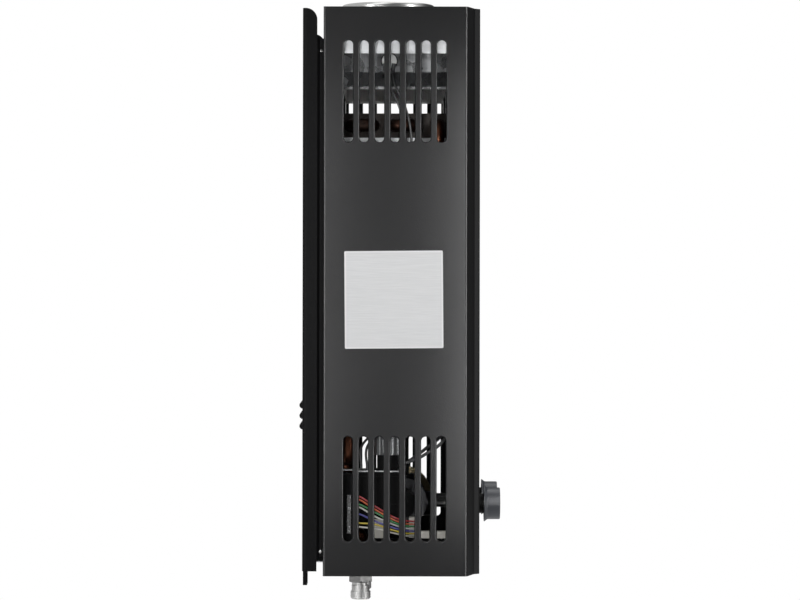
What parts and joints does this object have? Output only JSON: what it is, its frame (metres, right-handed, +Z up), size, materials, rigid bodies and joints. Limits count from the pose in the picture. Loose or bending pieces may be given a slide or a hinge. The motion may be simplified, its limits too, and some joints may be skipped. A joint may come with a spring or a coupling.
{
  "type": "tankless gas water heater",
  "caption": "Wall-hung tankless gas water heater: slotted black steel case, steel flue collar, front knobs, burner and finned exchanger inside, pipe connections below.",
  "frame": {"origin": "midway between the two hanging keyholes, on the wall plane", "axes": "+Z up, +Y into the wall, +X to the right seen from the front"},
  "size_m": [0.34, 0.2121, 0.6365],
  "materials": {
    "cover_paint": "satin",
    "plate_paint": "satin",
    "zinc_sheet": "satin",
    "stainless": "satin",
    "copper": "satin",
    "tinned_copper": "satin",
    "brass": "satin",
    "black_plastic": "matte",
    "slate_plastic": "matte",
    "ceramic": "satin",
    "pale_plastic": "matte",
    "diaphragm_rubber": "matte",
    "lens": "gloss",
    "board": "matte",
    "cell_wrap": "gloss",
    "wire_sleeve": "satin"
  },
  "bodies": {
    "chassis": {"front_cover": "cover_paint", "back_plate": "plate_paint", "cover_screws": "plate_paint", "top_plate": "zinc_sheet", "bottom_plate": "zinc_sheet", "draft_hood": "zinc_sheet", "clamp_ring": "zinc_sheet", "burner_tray": "zinc_sheet", "gas_manifold": "zinc_sheet", "core_rails": "zinc_sheet", "gas_valve": "zinc_sheet", "switch_bracket": "zinc_sheet", "controller_shelf": "zinc_sheet", "spark_cans": "zinc_sheet", "flue_collar": "stainless", "burner_bars": "stainless", "thermostat": "stainless", "hot_outlet": "stainless", "cold_inlet": "stainless", "gas_pipe": "stainless", "lid_pin": "stainless", "battery_contacts": "stainless", "exchanger_fins": "copper", "exchanger_tubes": "copper", "chamber": "copper", "coil_pipe": "copper", "hot_pipe": "copper", "exchanger_frame": "tinned_copper", "gas_inlet": "brass", "water_valve": "brass", "diaphragm_cover": "brass", "solenoid": "black_plastic", "micro_switch": "black_plastic", "knob_bushes": "black_plastic", "battery_box": "black_plastic", "controller": "black_plastic", "spark_unit": "black_plastic", "igniter": "ceramic", "flame_sensor": "ceramic", "plug_block": "pale_plastic", "diaphragm": "diaphragm_rubber", "display_lens": "lens", "display_board": "board", "cells": "cell_wrap", "harness": "wire_sleeve", "thermostat_leads": "wire_sleeve", "igniter_lead": "wire_sleeve", "sensor_lead": "wire_sleeve"},
    "gas_control": {"gas_knob": "slate_plastic", "gas_spindle": "stainless"},
    "water_control": {"water_knob": "slate_plastic", "water_spindle": "stainless"},
    "lid": {"battery_lid": "black_plastic"},
    "drain": {"drain_plug": "slate_plastic"},
    "rod": {"push_rod": "stainless"},
    "lever": {"switch_lever": "stainless"}
  },
  "joints": [
    {"name": "gas_knob_turn", "type": "hinge", "parent": "chassis", "child": "gas_control", "pos_m": [-0.048, -0.19, -0.4934], "axis": [0, -1, 0], "range_deg": [0, 270]},
    {"name": "water_knob_turn", "type": "hinge", "parent": "chassis", "child": "water_control", "pos_m": [0.048, -0.19, -0.4934], "axis": [0, -1, 0], "range_deg": [0, 270]},
    {"name": "battery_lid_swing", "type": "hinge", "parent": "chassis", "child": "lid", "pos_m": [-0.114, -0.087, -0.5568], "axis": [1, 0, 0], "range_deg": [0, 95]},
    {"name": "drain_plug_turn", "type": "hinge", "parent": "chassis", "child": "drain", "pos_m": [0.072, -0.108, -0.56], "axis": [0, 0, 1], "range_deg": [0, 360]},
    {"name": "push_rod_slide", "type": "slide", "parent": "chassis", "child": "rod", "axis": [-1, 0, 0], "range_m": [0, 0.004]},
    {"name": "switch_lever_turn", "type": "hinge", "parent": "chassis", "child": "lever", "pos_m": [0.004, -0.104, -0.472], "axis": [0, 1, 0], "range_deg": [0, 19]}
  ],
  "couplings": [
    {"joint": "switch_lever_turn", "follows": "push_rod_slide", "rad_per_m": 80}
  ]
}
